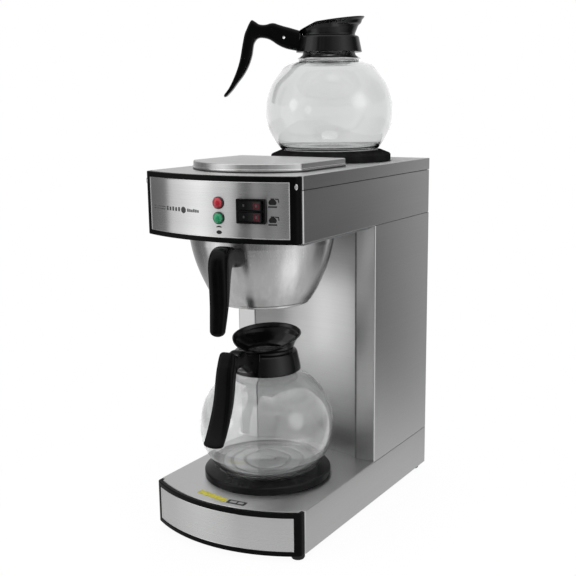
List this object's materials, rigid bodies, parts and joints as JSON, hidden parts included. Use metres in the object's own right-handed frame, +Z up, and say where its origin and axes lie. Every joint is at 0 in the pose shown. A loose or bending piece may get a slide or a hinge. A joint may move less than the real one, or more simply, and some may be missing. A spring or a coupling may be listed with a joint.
{
  "type": "commercial coffee brewer",
  "caption": "Free-standing pour-over coffee brewer in brushed steel: hinged fill lid, sliding brew funnel, rocker switches, and warmers on the base and on top, each with a glass decanter.",
  "frame": {"origin": "middle of the footprint of the whole assembly, on the counter under the feet", "axes": "+Z up, -Y to the front where the controls and the funnel handle are, +X to the right of someone facing the front"},
  "size_m": [0.2292, 0.402, 0.6157],
  "materials": {
    "brushed_steel": "fine straight brushing, satin",
    "plain_steel": "mill finish",
    "polished_steel": "polished",
    "warmer_plate": "turned steel with pressed rings, heat dulled",
    "black_enamel": "semi-gloss enamel",
    "black_plastic": "fine grain, soft sheen",
    "switch_plastic": "satin gloss",
    "rubber": "matte",
    "clear_glass": "clear borosilicate",
    "red_lens": "clear tinted lens",
    "green_lens": "clear tinted lens",
    "phenolic": "moulded",
    "brass": "turned"
  },
  "bodies": {
    "chassis": {"base_shell": "brushed_steel", "base_bottom_plate": "plain_steel", "base_trim": "black_plastic", "base_fascia": "brushed_steel", "foot_front_left": "rubber", "foot_front_right": "rubber", "foot_rear_left": "rubber", "foot_rear_right": "rubber", "cord_gland": "black_plastic", "terminal_block": "phenolic", "warmer_lower_ring": "black_enamel", "warmer_lower_plate": "warmer_plate", "warmer_lower_element": "plain_steel", "warmer_upper_ring": "black_enamel", "warmer_upper_plate": "warmer_plate", "warmer_upper_element": "plain_steel", "column_panel_right": "brushed_steel", "column_panel_left": "brushed_steel", "splash_panel": "brushed_steel", "rear_panel": "plain_steel", "rear_screw_1": "polished_steel", "rear_screw_2": "polished_steel", "rear_screw_3": "polished_steel", "rear_screw_4": "polished_steel", "tank": "plain_steel", "tank_lid": "brushed_steel", "fill_tube": "brushed_steel", "outlet_tube": "brushed_steel", "immersion_heater": "polished_steel", "tank_thermostat": "brass", "head_shell": "brushed_steel", "head_top_cover": "brushed_steel", "head_trim": "black_plastic", "head_trim_screw_left": "polished_steel", "head_trim_screw_right": "polished_steel", "head_fascia": "brushed_steel", "lamp_red": "red_lens", "lamp_green": "green_lens", "switch_housing": "switch_plastic", "funnel_rail_left": "brushed_steel", "funnel_rail_right": "brushed_steel", "spray_head": "polished_steel", "fill_basin": "brushed_steel", "hinge_bracket": "brushed_steel", "hinge_pin": "polished_steel"},
    "lid": {"lid": "brushed_steel"},
    "brew_funnel": {"funnel_bowl": "brushed_steel", "filter_rack": "polished_steel", "funnel_handle": "black_plastic", "funnel_screw": "polished_steel"},
    "decanter_lower": {"decanter_lower_glass": "clear_glass", "decanter_lower_band": "polished_steel", "decanter_lower_pourer": "black_plastic"},
    "decanter_upper": {"decanter_upper_glass": "clear_glass", "decanter_upper_band": "polished_steel", "decanter_upper_pourer": "black_plastic"},
    "switch_upper": {"rocker_upper": "switch_plastic"},
    "switch_lower": {"rocker_lower": "switch_plastic"}
  },
  "joints": [
    {"name": "lid_hinge", "type": "hinge", "parent": "chassis", "child": "lid", "pos_m": [0.01209, 0.00559, 0.4392], "axis": [-1, 0, 0], "range_deg": [0, 92]},
    {"name": "funnel_slide", "type": "slide", "parent": "chassis", "child": "brew_funnel", "axis": [0, -1, 0], "range_m": [0, 0.2]},
    {"name": "decanter_lower_slide", "type": "slide", "parent": "chassis", "child": "decanter_lower", "axis": [0, -1, 0], "range_m": [0, 0.215]},
    {"name": "decanter_upper_lift", "type": "slide", "parent": "chassis", "child": "decanter_upper", "axis": [0, 0, 1], "range_m": [0, 0.15]},
    {"name": "switch_upper_rock", "type": "hinge", "parent": "chassis", "child": "switch_upper", "pos_m": [0.06482, -0.15794, 0.40405], "axis": [0, 0, 1], "range_deg": [0, 14]},
    {"name": "switch_lower_rock", "type": "hinge", "parent": "chassis", "child": "switch_lower", "pos_m": [0.06482, -0.15794, 0.39195], "axis": [0, 0, 1], "range_deg": [0, 14]}
  ]
}
